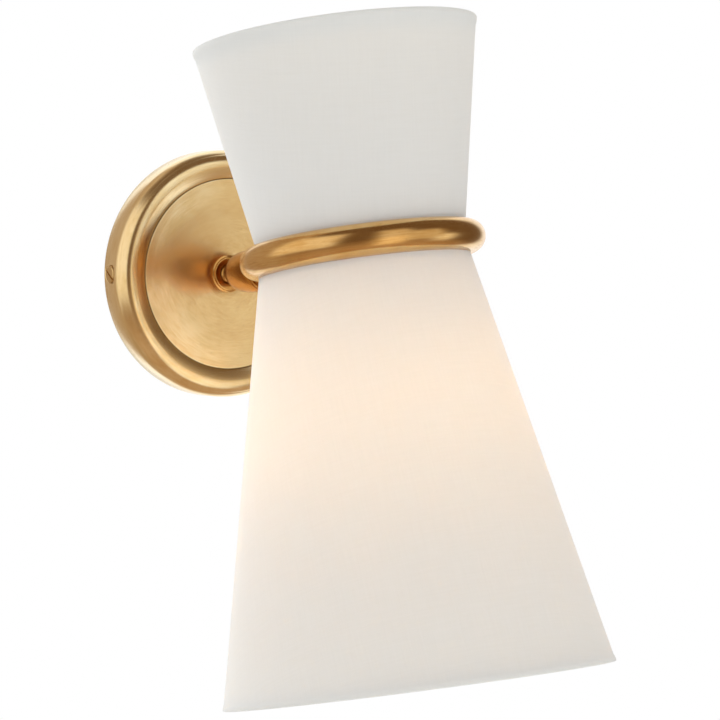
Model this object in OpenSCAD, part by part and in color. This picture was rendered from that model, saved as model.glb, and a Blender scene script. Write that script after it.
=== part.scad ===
// Pivoting wall light with an hourglass linen shade.
// The wall is the plane Y = 0 and the light stands out along -Y. Up is +Z, and the origin is
// the middle of the backplate's rear face.

/* [Backplate] */
// Outer radius of the backplate
plate_r = 60.3; // [56:0.1:70]
// Depth of the straight side wall
plate_side = 10.2; // [10:0.1:14]
// Depth from the wall to the crest of the rounded front
plate_depth = 18.6; // [17.5:0.1:20]
// Radius of the foot of the rounded front
shoulder_r = 58.4; // [56:0.1:59]
// Depth of that foot, where the side wall's own curve ends
shoulder_depth = 15.4; // [14.6:0.1:16]
// Radius of the crest of the rounded front
crest_r = 52.3; // [51:0.1:54]
// Radius of the flat disc in the middle
disc_r = 46.3; // [40:0.1:50]
// How far the disc's edge stands out from the wall
disc_depth = 16.3; // [15:0.1:20]
// How deep the middle of the disc is dished
disc_dish = 1.7; // [0.5:0.1:3]
// Radius of the edge of that dish
dish_out_r = 44; // [18:0.5:45]
// Width of the slope from the rounded front down to the disc
step_w = 3.9; // [3:0.1:4.5]
// Thickness of the spun brass
plate_wall = 1.2; // [0.8:0.1:2]

/* [Wall bracket] */
// Thickness of the steel bracket
bracket_t = 2.0; // [1.5:0.1:3]
// Width of the bracket's straps
bracket_w = 22; // [18:1:30]
// Radius of the bracket's middle disc
bracket_mid_r = 24; // [20:1:30]
// Radius of the wire hole in the bracket
bracket_hole_r = 13; // [11:0.5:16]
// Distance between the two box screws
box_spacing = 88.9; // [82:0.1:92]
// Width of the slots for the box screws
slot_w = 4.6; // [4:0.1:5.5]
// Length of the slots
slot_len = 14; // [8:1:18]
// Height of the side screws above the wall
screw_y = 6.0; // [5:0.1:8]
// Radius of the side screws' heads
screw_head_r = 4.2; // [3:0.1:5]
// Radius of the side screws' shanks
screw_r = 2.0; // [1.5:0.1:2.5]

/* [Ball joint] */
// Distance from the wall to the centre of the ball
ball_y = 11.5; // [11:0.1:13]
// Radius of the ball
ball_r = 6.0; // [5.5:0.1:6.5]
// Thickness of the liner round the ball
liner_t = 0.75; // [0.5:0.05:1]
// Gap between the ball, the liner and the cup
ball_gap = 0.1; // [0.05:0.01:0.2]
// Outer radius of the cup's shank
cup_r = 7.9; // [7.6:0.1:9]
// Outer radius of the cup's lip
lip_r = 8.4; // [8.2:0.1:10]
// How far the lip stands out of the disc
lip_h = 1.5; // [1:0.1:3]
// Radius of the mouth of the cup
mouth_r = 5.3; // [5:0.1:5.7]
// Radius of the neck between ball and bell
neck_r = 3.0; // [2.5:0.1:3.2]
// Radius of the bore for the leads
lead_bore_r = 1.9; // [1.5:0.1:2]

/* [Arm] */
// Length from the centre of the ball to the centre of the ring's tube
arm_len = 85.5; // [80:0.5:100]
// Upward slope of the arm at rest, in degrees
arm_rise = 3.3; // [0:0.1:8]
// Turn of the head about the arm at rest, in degrees
arm_twist = -3.6; // [-10:0.1:10]
// Lean of the shade off the arm's normal, in degrees
head_lean = 5.3; // [2:0.1:7]
// Distance from the ball's centre to the back of the bell
bell_start = 11.9; // [11:0.1:14]
// Length of the bell
bell_len = 29.6; // [24:0.1:34]
// Radius of the bell near its back
bell_small_r = 8.0; // [7:0.1:9]
// Radius of the bell at its mouth
bell_mouth_r = 10.4; // [9.6:0.1:12]
// Radius of the spindle inside the bell and the collar
spindle_r = 3.6; // [3.4:0.1:3.9]
// Radius of the collar past the bell
collar_r = 8.8; // [8:0.1:9.4]
// Length of the collar
collar_len = 5.0; // [4:0.1:8]
// Outer radius of the arm tube
arm_r = 6.35; // [6.1:0.05:7]
// Wall of the arm tube
arm_wall = 1.0; // [0.8:0.1:1.2]
// Running clearance of the spindle in the collar
run_gap = 0.05; // [0.02:0.01:0.08]

/* [Ring] */
// Radius of the ring's centre line
ring_r = 49.4; // [46:0.1:55]
// Radius of the ring's tube
tube_r = 7.4; // [6.6:0.1:8.4]
// Wall of the ring's tube
tube_wall = 1.2; // [1:0.1:1.6]
// Radius of the saddle between arm and ring
saddle_r = 8.6; // [8:0.1:9.5]
// Length of the saddle behind the ring
saddle_len = 9.0; // [8:0.5:12]
// Radius of the stay rods
stay_r = 2.5; // [2:0.1:3]

/* [Shades] */
// Height of the upper rim above the ring's plane
upper_h = 99.8; // [90:0.5:110]
// Radius of the upper rim
upper_r = 65.5; // [60:0.5:72]
// Depth of the lower rim below the ring's plane
lower_h = 200.7; // [180:0.5:220]
// Radius of the lower rim
lower_r = 89.9; // [80:0.5:98]
// Radius of both cones in the ring's plane
waist_r = 47.2; // [45:0.1:50]
// Thickness of linen and backing
shade_t = 1.0; // [0.8:0.1:1.4]
// Gap between the ring's tube and the shades
shade_seat = 0.1; // [0.05:0.05:0.5]
// Radius of the wires of the shade frames
wire_r = 1.25; // [1:0.05:1.5]
// Gap between a wire and the linen
wire_gap = 0.25; // [0.15:0.05:0.4]
// Radius of the washers in the middle of the fitters
fitter_hub_r = 13; // [12:0.5:15]
// Thickness of the fitters' washers
fitter_t = 1.5; // [1.2:0.1:2]
// Thickness of the divider plate
divider_t = 0.8; // [0.6:0.1:1.2]

/* [Lamp holder and lamp] */
// Radius of the hollow body on the ring's axis
body_r = 14; // [13:0.5:16]
// Height of the body
body_h = 18; // [17.6:0.2:19]
// Radius of the threaded nipples
nipple_r = 4.8; // [4.5:0.1:5]
// Radius of the lamp holder's body
socket_r = 11.5; // [11:0.5:14]
// Length of the lamp holder's body
socket_len = 34; // [30:1:40]
// Radius of the lamp's screw base
base_r = 5.9; // [5.6:0.1:6.2]
// Largest radius of the lamp's glass
glass_r = 17.5; // [15:0.5:22]
// Length of the lamp's glass
glass_len = 72; // [60:1:80]

/* [Hidden] */
$fn = 96;
eps = 0.01;
fit = 0.05;
nut_gap = 0.1;

brass = "#b98a45";
steel = "#8f9296";
linen = "#ece5d8";

// Backplate and bracket
side_curve = plate_r - shoulder_r;
front_h = plate_depth - shoulder_depth;
front_w = shoulder_r - crest_r;
front_round = (front_w * front_w + front_h * front_h) / (2 * front_h);
band_in = disc_r + step_w;
band_foot = plate_depth - 0.2;
slope_end = disc_depth + 0.5;
disc_back = disc_depth - plate_wall;
dish_depth = disc_depth - disc_dish;
dish_back = dish_depth - plate_wall;
ear_t = 2.4;
ear_w = 10;
ear_gap = 0.4;
ear_x = plate_r - plate_wall - ear_gap;
ear_h = screw_y + 4;
head_depth = 1.1;
ground_x = bracket_mid_r + 6;

// Ball joint
hole_fit = 0.1;
liner_in = ball_r + ball_gap;
liner_out = liner_in + liner_t;
seat_r = liner_out + ball_gap;
liner_front = 72;
liner_back = 104;
throat = sqrt(seat_r * seat_r - mouth_r * mouth_r);
lip_front = dish_depth + lip_h;
cup_rear = 1.9;
cup_bore_r = seat_r;
locknut_t = 3.4;
locknut_r = 12.2;
dish_r = locknut_r + 0.5;
nut_rear = 2.1;
nut_len = 1.2;
spring_t = 0.7;
pad_bore_r = 3.0;
pad_r = 4.6;
pad_flange_t = 1.2;
spring_y = nut_rear + nut_len;
pad_y = spring_y + spring_t;

// Arm
bell_end = bell_start + bell_len;
bell_wall = 1.4;
washer_t = 0.6;
collar_start = bell_end + washer_t;
collar_end = collar_start + collar_len;
spindle_end = collar_end + 8;
arm_in = arm_r - arm_wall;
spindle_nut_r = arm_in - 0.6;
spindle_nut_t = 4;
spigot_len = 3;
spigot_end = collar_end + spigot_len;
arm_end = arm_len - tube_r - 5.5;
pipe_end = ring_r + tube_r + 3;

// Ring and shades
upper_slope = (upper_r - waist_r) / upper_h;
lower_slope = (lower_r - waist_r) / lower_h;
seat_z = tube_r + shade_seat;
upper_foot_r = waist_r + upper_slope * seat_z;
lower_top_r = waist_r + lower_slope * seat_z;
body_half = body_h / 2;
fitter_z = body_half + fitter_t / 2;
upper_wire_r = waist_r + upper_slope * fitter_z - shade_t - wire_gap - wire_r;
lower_wire_r = waist_r + lower_slope * fitter_z - shade_t - wire_gap - wire_r;
divider_r = upper_wire_r - wire_r - 0.6;
divider_z = body_half + fitter_t;
arm_side = 90;
spokes = [arm_side, arm_side + 120, arm_side + 240];
spoke_w = 5;
hem_drop = wire_r + 1.2;
upper_rim_r = upper_r - upper_slope * hem_drop - shade_t - wire_gap - wire_r;
lower_rim_r = lower_r - lower_slope * hem_drop - shade_t - wire_gap - wire_r;

// Lamp holder, measured down from the ring's plane
nut_af_r = 8.2;
socket_nut_t = 3;
body_wall = 3;
nipple_grip = body_wall - 0.4;
nipple_in = 3.0;
socket_nut_z = body_half + fitter_t;
cap_z = socket_nut_z + socket_nut_t;
cap_len = 9;
cap_wall = 1.2;
cap_r = socket_r + 0.3 + cap_wall;
socket_z = cap_z + cap_wall;
socket_end = socket_z + socket_len;
shell_wall = 0.4;
shell_r = base_r + 0.2 + shell_wall;
contact_t = 0.6;
floor_t = 8;
contact_z = socket_z + floor_t;
tip_h = 1.6;
tip_z = contact_z + contact_t;
base_z = tip_z + tip_h;
base_len = socket_end - base_z + 2;
glass_z = base_z + base_len;
neck_glass_r = base_r + 1.2;
glass_wall = 0.8;

lead_r = 0.85;
lead_step = 0.95;

// A point at distance r and angle a from (x, y)
function polar(x, y, r, a) = [x + r * cos(a), y + r * sin(a)];
// An arc as a list of points
function arc(x, y, r, a0, a1, n = 8) = [for (i = [0:n]) polar(x, y, r, a0 + (a1 - a0) * i / n)];
function unit(v) = v / norm(v);
// Tangent of a route at point i
function tangent(p, i) = unit(p[min(i + 1, len(p) - 1)] - p[max(i - 1, 0)]);
// A direction across the route, from a slant that no route here runs along
function across(t) = unit(cross(t, [1, -1, 0]));
function spline(a, b, c, d, t) = 0.5 * (2 * b + (c - a) * t + (2 * a - 5 * b + 4 * c - d) * t * t
    + (3 * b - a - 3 * c + d) * t * t * t);
function smooth(p, n = 4) = concat([for (i = [0:len(p) - 2], k = [0:n - 1])
    spline(p[max(i - 1, 0)], p[i], p[i + 1], p[min(i + 2, len(p) - 1)], k / n)], [p[len(p) - 1]]);

// Turns a profile of [radius, distance from the wall] about the plate's axis
module turned(points) {
    rotate([90, 0, 0])
        rotate_extrude()
            polygon(points);
}

// Places children in the arm's frame: the ball's centre is the origin, the arm runs along +Z
module on_arm() {
    translate([0, -ball_y, 0])
        rotate([-arm_rise, 0, 0])
            rotate([0, arm_twist, 0])
                rotate([90, 0, 0])
                    children();
}

// Places children in the shade's frame: the ring's centre is the origin, the shade's axis is Z
module on_head() {
    translate([0, -ball_y, 0])
        rotate([-arm_rise, 0, 0])
            rotate([0, arm_twist, 0])
                translate([0, -arm_len, 0])
                    rotate([-head_lean, 0, 0])
                        translate([0, -ring_r, 0])
                            children();
}

// The arm's own axis seen from the shade's frame, from the ring's tube back to the ball
module arm_in_head() {
    translate([0, ring_r, 0])
        rotate([head_lean - 90, 0, 0])
            children();
}

// The pipe's axis in the shade's frame, from the ring's centre to the back of the ring
module pipe_in_head() {
    rotate([-90, 0, 0])
        children();
}

// A tube swept along a route of points
module lead(route, r, sides = 8) {
    p = smooth(route);
    n = len(p);
    rings = [for (i = [0:n - 1])
        let (t = tangent(p, i), u = across(t), v = cross(t, u))
            for (k = [0:sides - 1])
                p[i] + r * (u * cos(360 * k / sides) + v * sin(360 * k / sides))];
    walls = [for (i = [0:n - 2], k = [0:sides - 1])
        let (a = i * sides + k, b = i * sides + (k + 1) % sides)
            each [[a, b + sides, b], [a, a + sides, b + sides]]];
    first = [for (k = [1:sides - 2]) [0, k, k + 1]];
    last = [for (k = [1:sides - 2]) [(n - 1) * sides, (n - 1) * sides + k + 1, (n - 1) * sides + k]];
    polyhedron(rings, concat(walls, first, last));
}

module slot(length, width, height) {
    for (s = [-1, 1])
        translate([s * (length - width) / 2, 0, 0])
            cylinder(h = height, r = width / 2);
    translate([-(length - width) / 2, -width / 2, 0])
        cube([length - width, width, height]);
}

module hexagon_nut(across_r, bore, height) {
    difference() {
        cylinder(h = height, r = across_r, $fn = 6);
        translate([0, 0, -eps])
            cylinder(h = height + 2 * eps, r = bore);
    }
}

// Steel crossbar with a round middle and two tapped ears
module wall_bracket() {
    color(steel)
        difference() {
            union() {
                rotate([90, 0, 0]) {
                    cylinder(h = bracket_t, r = bracket_mid_r);
                    intersection() {
                        cylinder(h = bracket_t, r = ear_x);
                        translate([-ear_x, -bracket_w / 2, 0])
                            cube([2 * ear_x, bracket_w, bracket_t]);
                    }
                }
                for (s = [-1, 1])
                    translate([s * (ear_x - ear_t / 2) - ear_t / 2, -ear_h, -ear_w / 2])
                        cube([ear_t, ear_h, ear_w]);
            }
            rotate([90, 0, 0])
                translate([0, 0, -eps]) {
                    cylinder(h = bracket_t + 2 * eps, r = bracket_hole_r);
                    for (s = [-1, 1])
                        translate([s * box_spacing / 2, 0, 0])
                            slot(slot_len, slot_w, bracket_t + 2 * eps);
                }
            translate([0, -screw_y, 0])
                rotate([0, 90, 0])
                    cylinder(h = 3 * plate_r, r = screw_r + fit, center = true);
            translate([-ground_x, eps, 0])
                rotate([90, 0, 0])
                    cylinder(h = bracket_t + 2 * eps, r = screw_r + fit);
        }
}

// Green pan-head screw for the earth lead
module ground_screw() {
    head_h = 2.4;
    head_y = bracket_t + 2 * lead_r + 3 * fit;
    color("#2f7a3c")
        translate([-ground_x, 0, 0])
            rotate([90, 0, 0])
                difference() {
                    union() {
                        cylinder(h = head_y + head_h, r = screw_r);
                        translate([0, 0, head_y])
                            cylinder(h = head_h, r1 = screw_head_r, r2 = screw_head_r - 0.8);
                    }
                    translate([-screw_head_r, -0.5, head_y + head_h - 1])
                        cube([2 * screw_head_r, 1, 2]);
                }
}

// Spun brass plate: side wall, rounded front, step and dished disc
module backplate() {
    outer = concat(
        [[plate_r, 0]],
        [for (i = [0:5]) let (k = i / 5)
            [plate_r - side_curve * k * k, plate_side + (shoulder_depth - plate_side) * k]],
        [for (i = [1:8]) let (x = front_w * (1 - i / 8))
            [crest_r + x, plate_depth - front_round + sqrt(front_round * front_round - x * x)]],
        [for (i = [1:3]) let (k = i / 3) [crest_r - (crest_r - band_in) * k, plate_depth - 0.2 * k * k]],
        [[disc_r + 0.7, slope_end]],
        [[disc_r + 0.2, disc_depth - 0.1]],
        [[disc_r - 0.2, disc_depth]],
        [for (i = [0:6]) let (k = i / 6) [dish_out_r - (dish_out_r - dish_r) * k,
            dish_depth + (disc_dish - 0.2) * (1 + cos(180 * k)) / 2]],
        [[cup_r + hole_fit, dish_depth]]);
    inner = concat(
        [[cup_r + hole_fit, dish_back]],
        [for (i = [6:-1:0]) let (k = i / 6) [dish_out_r - (dish_out_r - dish_r) * k,
            dish_back + (disc_dish - 0.2) * (1 + cos(180 * k)) / 2]],
        [[disc_r - 0.8, disc_back]],
        [[disc_r + 0.8, slope_end - plate_wall - 0.2]],
        [[band_in - 0.2, band_foot - plate_wall - 0.1]],
        [[crest_r, plate_depth - plate_wall]],
        [for (i = [2, 4, 6]) let (x = (front_w - 0.8) * i / 6)
            [crest_r + x, plate_depth - front_round + sqrt(pow(front_round - plate_wall, 2) - x * x)]],
        [[plate_r - plate_wall, plate_side]],
        [[plate_r - plate_wall, 0]]);
    color(brass)
        difference() {
            turned(concat(outer, inner));
            for (s = [-1, 1])
                translate([0, -screw_y, 0])
                    rotate([0, s * 90, 0]) {
                        cylinder(h = plate_r + 1, r = screw_r + hole_fit);
                        translate([0, 0, plate_r - head_depth])
                            cylinder(h = 3, r = screw_head_r + hole_fit);
                    }
        }
}

// Slotted screws from the side of the backplate into the bracket's ears
module side_screws() {
    slot_turn = 35;
    proud = 0.5;
    color(brass)
        for (s = [-1, 1])
            translate([0, -screw_y, 0])
                rotate([0, s * 90, 0])
                    difference() {
                        union() {
                            translate([0, 0, ear_x - ear_t - 2])
                                cylinder(h = plate_r - ear_x + ear_t + 2 - head_depth / 2, r = screw_r);
                            translate([0, 0, plate_r - head_depth + eps])
                                cylinder(h = head_depth + proud - 0.3, r = screw_head_r);
                            translate([0, 0, plate_r + proud - 0.3])
                                cylinder(h = 0.3, r1 = screw_head_r, r2 = screw_head_r - 0.4);
                        }
                        translate([0, 0, plate_r + proud - 0.7])
                            rotate([0, 0, s * slot_turn])
                                translate([-0.45, -screw_head_r - 1, 0])
                                    cube([0.9, 2 * screw_head_r + 2, 2]);
                    }
}

// Brass cup: rounded lip in front of the disc, spherical seat inside
module hub_cup() {
    roll = (lip_front - dish_depth) / 2;
    step_r = lip_r + 0.5;
    mouth_roll = 0.35;
    front = concat(
        [[cup_r, dish_depth]],
        [[step_r, dish_depth]],
        [[step_r, dish_depth + 0.35]],
        [[lip_r, dish_depth + 0.45]],
        arc(lip_r - roll, lip_front - roll, roll, 20, 90, 5),
        [[mouth_r + mouth_roll + 0.4, lip_front]],
        arc(mouth_r + mouth_roll, lip_front - mouth_roll - 0.1, mouth_roll, 90, 180, 3));
    seat = [for (i = [0:8]) let (a = atan2(mouth_r, throat) + (90 - atan2(mouth_r, throat)) * i / 8)
        [seat_r * sin(a), ball_y + seat_r * cos(a)]];
    color(brass)
        turned(concat(front, seat, [[cup_bore_r, cup_rear]], [[cup_r, cup_rear]]));
}

// Ring nut that clamps the cup from behind
module hub_locknut() {
    color(brass)
        translate([0, -dish_back, 0])
            rotate([-90, 0, 0])
                hexagon_nut(locknut_r, cup_r + fit, locknut_t);
}

// Nylon pad that presses on the back of the ball
module pressure_pad() {
    sphere_r = ball_r + ball_gap;
    start = asin(pad_bore_r / sphere_r);
    stop = asin(pad_r / sphere_r);
    face = [for (i = [0:5]) let (a = stop + (start - stop) * i / 5)
        [sphere_r * sin(a), ball_y - sphere_r * cos(a)]];
    color("#e8e6dd")
        turned(concat(
            [[pad_bore_r, pad_y]],
            [[cup_bore_r - fit, pad_y]],
            [[cup_bore_r - fit, pad_y + pad_flange_t]],
            [[pad_r, pad_y + pad_flange_t]],
            face));
}

// Cone spring washer behind the pad
module spring_washer() {
    sheet = 0.4;
    color(steel)
        turned([[pad_bore_r + 1, spring_y], [pad_bore_r + 1, spring_y + sheet],
            [cup_bore_r - 0.4, spring_y + spring_t], [cup_bore_r - 0.4, spring_y + spring_t - sheet]]);
}

// Threaded ring that sets the friction
module tension_nut() {
    color(brass)
        difference() {
            translate([0, -nut_rear, 0])
                rotate([90, 0, 0])
                    difference() {
                        cylinder(h = nut_len, r = cup_bore_r - fit);
                        translate([0, 0, -eps])
                            cylinder(h = nut_len + 2 * eps, r = pad_bore_r);
                    }
            for (a = [0, 90])
                rotate([0, a, 0])
                    translate([-cup_r, -nut_rear - 0.8, -0.6])
                        cube([2 * cup_r, 1, 1.2]);
        }
}

// Twist-on connectors in the upper half of the backplate
connector_len = 17;
connector_bore = 9;
connector_wide_r = 5.2;
connector_tip_r = 3.4;
connector_y = 8;
connector_z = 33;
connector_x = 22;
lead_entry_z = connector_z - 1;
lead_end_z = connector_z + connector_bore - 2;
module wire_connectors() {
    colors = ["#f2f2ee", "#f2f2ee", "#d8862c"];
    for (i = [0:2])
        color(colors[i])
            translate([(i - 1) * connector_x, -connector_y, connector_z])
                difference() {
                    cylinder(h = connector_len, r1 = connector_wide_r, r2 = connector_tip_r);
                    translate([0, 0, -eps])
                        cylinder(h = connector_bore, r = lead_r + 0.5);
                }
}

// Live and neutral leads from the ball joint to their connectors
module canopy_leads() {
    colors = ["#2b2b2b", "#e9e6dc"];
    for (i = [0:1])
        let (s = i * 2 - 1)
            color(colors[i])
                lead([[s * 1.2, -4.6, 0], [s * 1.3, -2.2, 0.3], [s * 1.5, -1.05, 2.4], [s * 2.6, -0.95, 6],
                    [s * 4.2, -1.2, 9.4], [s * 6.4, -4.2, 11.6], [s * 9, -5, 16],
                    [(i - 1) * (connector_x - 4), -connector_y + 0.8, connector_z - 7],
                    [(i - 1) * connector_x, -connector_y, lead_entry_z],
                    [(i - 1) * connector_x, -connector_y, lead_end_z]], lead_r);
}

// Earth lead from the ground screw to its connector
module ground_lead() {
    loop_r = screw_r + lead_r + 0.2;
    loop_y = bracket_t + lead_r + fit;
    loop = [for (a = [-335:29:-45]) [-ground_x + loop_r * cos(a), -loop_y, loop_r * sin(a)]];
    color("#3c8f4a")
        lead(concat(loop, [[-connector_x, -3.4, 8], [-8, -7, 13],
            [8, -connector_y, connector_z - connector_len],
            [connector_x - 2, -connector_y - 0.4, connector_z - connector_bore],
            [connector_x, -connector_y, lead_entry_z],
            [connector_x, -connector_y, lead_end_z]]), lead_r);
}

// Nylon zone round the ball, carried along when the arm swings sideways
module ball_liner() {
    front = [for (i = [0:6]) let (a = liner_front + (liner_back - liner_front) * i / 6)
        [liner_out * sin(a), liner_out * cos(a)]];
    back = [for (i = [6:-1:0]) let (a = liner_front + (liner_back - liner_front) * i / 6)
        [liner_in * sin(a), liner_in * cos(a)]];
    color("#e8e6dd")
        on_arm()
            rotate_extrude()
                polygon(concat(front, back));
}

// Ball, neck and hollow spindle, turned from one bar
module ball_stud() {
    color(brass)
        on_arm()
            difference() {
                union() {
                    sphere(r = ball_r);
                    cylinder(h = spindle_end, r = neck_r);
                    translate([0, 0, bell_start + bell_wall])
                        cylinder(h = spindle_end - bell_start - bell_wall, r = spindle_r);
                }
                translate([0, 0, -ball_r - 1])
                    cylinder(h = spindle_end + ball_r + 2, r = lead_bore_r);
            }
}

// Bell with a closed back, seated on the shoulder of the spindle
module bell_cup() {
    corner = 2.6;
    rise = 3.5;
    rim = 0.5;
    skin = concat(
        [[neck_r + fit, bell_start]],
        arc(bell_small_r - corner, bell_start + corner, corner, -90, -20, 6),
        [[bell_small_r + (bell_mouth_r - bell_small_r) * 0.55, bell_start + corner + rise]],
        [[bell_small_r + (bell_mouth_r - bell_small_r) * 0.85, bell_start + corner + 2.4 * rise]],
        [[bell_mouth_r, bell_end - 6]],
        [[bell_mouth_r, bell_end - rim]],
        [[bell_mouth_r - rim, bell_end]]);
    hollow = [
        [bell_mouth_r - 2, bell_end],
        [bell_mouth_r - 2, bell_end - 3],
        [spindle_r + fit, bell_end - 3],
        [spindle_r + fit, bell_start + bell_wall],
        [neck_r + fit, bell_start + bell_wall]];
    color(brass)
        on_arm()
            rotate_extrude()
                polygon(concat(skin, hollow));
}

// Self-locking nut on the end of the spindle, inside the arm tube
module spindle_nut() {
    color(steel)
        on_arm()
            translate([0, 0, spigot_end + nut_gap])
                hexagon_nut(spindle_nut_r, spindle_r + fit, spindle_nut_t);
}

// Leads through the ball and the spindle
module stud_leads() {
    colors = ["#2b2b2b", "#e9e6dc"];
    on_arm()
        for (i = [0:1])
            let (s = i * 2 - 1)
                color(colors[i])
                    translate([s * lead_step, 0, -ball_r + 0.4])
                        cylinder(h = spindle_end + ball_r - 0.4, r = lead_r, $fn = 24);
}

// Nylon washer between bell and collar
module swivel_washer() {
    color("#e8e6dd")
        on_arm()
            translate([0, 0, bell_end + nut_gap])
                difference() {
                    cylinder(h = washer_t - 2 * nut_gap, r = collar_r - 0.6);
                    translate([0, 0, -eps])
                        cylinder(h = washer_t, r = spindle_r + run_gap);
                }
}

// Collar that turns on the spindle and carries the arm tube on its spigot
module arm_collar() {
    color(brass)
        on_arm()
            translate([0, 0, collar_start - nut_gap])
                difference() {
                    union() {
                        cylinder(h = 0.6, r1 = collar_r - 0.6, r2 = collar_r);
                        translate([0, 0, 0.6])
                            cylinder(h = collar_len - 1.2 + nut_gap, r = collar_r);
                        translate([0, 0, collar_len - 0.6 + nut_gap])
                            cylinder(h = 0.6, r1 = collar_r, r2 = collar_r - 0.6);
                        cylinder(h = collar_len + nut_gap + spigot_len, r = arm_in - fit);
                    }
                    translate([0, 0, -eps])
                        cylinder(h = collar_len + spigot_len + 1, r = spindle_r + run_gap);
                }
}

// Arm tube from the collar to the saddle
module arm_tube() {
    color(brass)
        on_arm()
            translate([0, 0, collar_end])
                difference() {
                    cylinder(h = arm_end - collar_end, r = arm_r);
                    translate([0, 0, -eps])
                        cylinder(h = arm_end - collar_end + 2 * eps, r = arm_in);
                }
}

// Leads through the arm, then down into the lamp holder
module arm_leads() {
    colors = ["#2b2b2b", "#e9e6dc"];
    start = arm_len - spindle_end - 0.4;
    far = ring_r + start * cos(head_lean);
    on_head()
        for (i = [0:1])
            let (s = i * 2 - 1)
                color(colors[i])
                    lead([[s * lead_step, far, start * sin(head_lean)], [s * lead_step, 66, 1.5],
                        [s * lead_step, 58, 0.4], [s * lead_step, 40, 0], [s * lead_step, 14, 0],
                        [s * lead_step, 5, -0.6], [s * lead_step, 1.2, -3], [s * lead_step, 0, -8],
                        [s * lead_step, 0, -15], [s * lead_step, 0, -socket_z - 0.4]], lead_r);
}

module ring_solid(r) {
    rotate_extrude()
        translate([ring_r, 0])
            circle(r = r, $fn = 64);
}

// Coped boss brazed to the back of the ring, bored for the arm tube and for the pipe
module ring_saddle() {
    back = ring_r + tube_r + saddle_len;
    color(brass)
        on_head()
            difference() {
                pipe_in_head()
                    translate([0, 0, ring_r])
                        cylinder(h = back - ring_r, r1 = saddle_r, r2 = saddle_r - 0.6);
                arm_in_head()
                    translate([0, 0, arm_len - arm_end])
                        cylinder(h = saddle_len, r = arm_r + fit);
                pipe_in_head()
                    cylinder(h = back, r = nipple_r + fit);
                ring_solid(tube_r + fit);
                cylinder(h = 4 * tube_r, r = ring_r, center = true);
            }
}

// Steel pipe from the saddle through the ring's tube to the centre body
module cross_pipe() {
    start = body_r - body_wall;
    color(steel)
        on_head()
            pipe_in_head()
                translate([0, 0, start])
                    difference() {
                        cylinder(h = pipe_end - start, r = nipple_r);
                        translate([0, 0, -eps])
                            cylinder(h = pipe_end - start + 2 * eps, r = nipple_in);
                    }
}

// Brass tube bent to a ring, bored for the pipe and for the stay rods
module waist_ring() {
    color(brass)
        on_head()
            difference() {
                ring_solid(tube_r);
                ring_solid(tube_r - tube_wall);
                pipe_in_head()
                    cylinder(h = pipe_end, r = nipple_r + fit);
                for (a = [spokes[1], spokes[2]])
                    rotate([0, 90, a])
                        cylinder(h = ring_r, r = stay_r + fit);
            }
}

// Hollow brass body on the ring's axis
module centre_body() {
    color(brass)
        on_head()
            difference() {
                union() {
                    translate([0, 0, -body_half + 0.8])
                        cylinder(h = body_h - 1.6, r = body_r);
                    for (m = [0, 1])
                        mirror([0, 0, m])
                            translate([0, 0, body_half - 0.8])
                                cylinder(h = 0.8, r1 = body_r, r2 = body_r - 0.8);
                }
                cylinder(h = body_h - 2 * body_wall, r = body_r - 5, center = true);
                cylinder(h = body_h + 1, r = nipple_r + fit, center = true);
                pipe_in_head()
                    cylinder(h = body_r + 2, r = nipple_r + fit);
                for (a = [spokes[1], spokes[2]])
                    rotate([0, 90, a])
                        translate([0, 0, body_r - 3])
                            cylinder(h = 5, r = stay_r + fit);
            }
}

// Rods from the body to the inside of the ring
module stay_rods() {
    reach = ring_r - tube_r + tube_wall + 0.3;
    color(brass)
        on_head()
            for (a = [spokes[1], spokes[2]])
                rotate([0, 90, a])
                    translate([0, 0, body_r - 3 + fit])
                        cylinder(h = reach - body_r + 3, r = stay_r);
}

module nipple(bottom, top) {
    translate([0, 0, bottom])
        difference() {
            cylinder(h = top - bottom, r = nipple_r);
            translate([0, 0, -eps])
                cylinder(h = top - bottom + 2 * eps, r = nipple_in);
        }
}

// Threaded tube above the body
module upper_nipple() {
    color(brass)
        on_head()
            nipple(body_half - nipple_grip, divider_z + divider_t + 8);
}

// Threaded tube below the body
module lower_nipple() {
    color(brass)
        on_head()
            nipple(-cap_z - cap_wall, -body_half + nipple_grip);
}

// Wire ring, three bars and a washer, in the plane of z
module fitter(z, r) {
    translate([0, 0, z])
        difference() {
            union() {
                rotate_extrude()
                    translate([r, 0])
                        circle(r = wire_r, $fn = 24);
                for (a = spokes)
                    rotate([0, 0, a])
                        translate([fitter_hub_r - 2, -spoke_w / 2, -fitter_t / 2])
                            cube([r - fitter_hub_r + 2, spoke_w, fitter_t]);
                cylinder(h = fitter_t, r = fitter_hub_r, center = true);
            }
            cylinder(h = 4 * fitter_t, r = nipple_r + fit, center = true);
        }
}

module upper_fitter() {
    color(steel)
        on_head()
            fitter(fitter_z, upper_wire_r);
}

module lower_fitter() {
    color(steel)
        on_head()
            fitter(-fitter_z, lower_wire_r);
}

// White plate that closes the waist between the shades
module divider() {
    color("white")
        on_head()
            translate([0, 0, divider_z])
                difference() {
                    cylinder(h = divider_t, r = divider_r);
                    translate([0, 0, -eps])
                        cylinder(h = divider_t + 2 * eps, r = nipple_r + fit);
                }
}

// Domed nut on the upper nipple
module cap_nut() {
    grip = 9;
    foot = divider_z + divider_t;
    color(brass)
        on_head()
            translate([0, 0, foot])
                difference() {
                    rotate_extrude()
                        polygon(concat([[0, 0], [8, 0], [8, 2], [7, 3], [7, 8]], arc(0, 8, 7, 15, 90, 6)));
                    translate([0, 0, -eps])
                        cylinder(h = grip, r = nipple_r + fit);
                }
}

// Hexagon nut under the lower fitter
module socket_nut() {
    color(steel)
        on_head()
            translate([0, 0, -socket_nut_z - socket_nut_t])
                hexagon_nut(nut_af_r, nipple_r + fit, socket_nut_t);
}

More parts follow.
